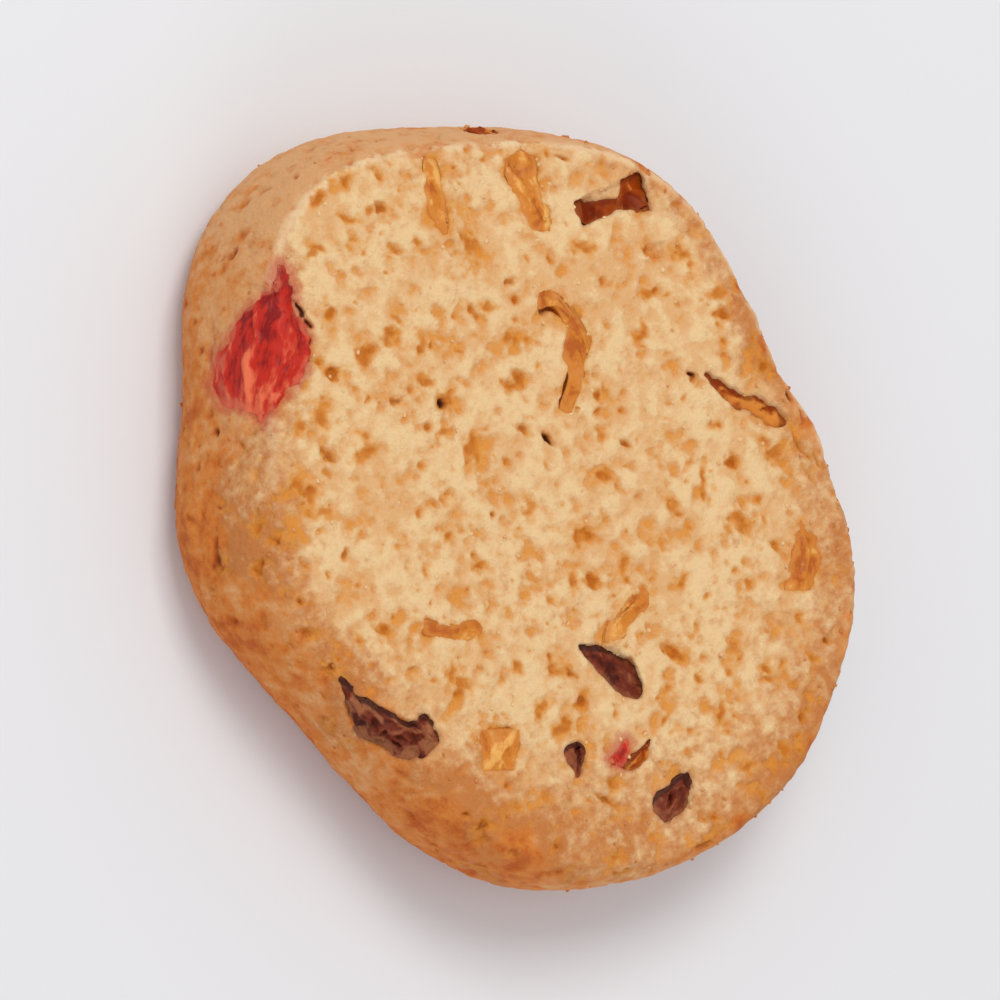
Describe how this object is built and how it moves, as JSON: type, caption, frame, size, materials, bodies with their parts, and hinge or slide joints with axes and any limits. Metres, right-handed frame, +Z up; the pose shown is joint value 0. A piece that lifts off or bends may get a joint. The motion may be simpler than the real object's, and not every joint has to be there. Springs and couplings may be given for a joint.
{
  "type": "fruit cookie",
  "caption": "Thick oval slice-and-bake fruit cookie with cut candied cherry, raisins and peel in its crumb, lying flat on its base.",
  "frame": {"origin": "centre of the outline on the flat base that the cookie lies on", "axes": "+Z up out of the cut face, +Y along the long way across, +X along the short way across"},
  "size_m": [0.0432, 0.0538, 0.0114],
  "materials": {
    "dough": "baked crumb, matte, pale on the cut face and golden brown at the edge",
    "cherry": "moist candied cherry",
    "raisin": "dark, wrinkled, slightly shiny",
    "sultana": "amber brown, sticky sheen",
    "peel": "translucent candied peel"
  },
  "bodies": {
    "root": {"dough": "dough", "cherry_rim": "cherry", "cherry_fleck": "cherry", "cherry_back": "cherry", "cherry_base": "cherry", "raisin_ragged": "raisin", "raisin_half_moon": "raisin", "raisin_drop": "raisin", "raisin_corner": "raisin", "raisin_back": "raisin", "raisin_side": "raisin", "raisin_base": "raisin", "sultana_bow": "sultana", "sultana_slot": "sultana", "sultana_scrap": "sultana", "sultana_wall": "sultana", "peel_curl": "peel", "peel_crescent": "peel", "peel_wedge": "peel", "peel_stick": "peel", "peel_dice": "peel", "peel_bar": "peel", "peel_sliver": "peel", "peel_back": "peel", "peel_base": "peel"}
  },
  "joints": []
}
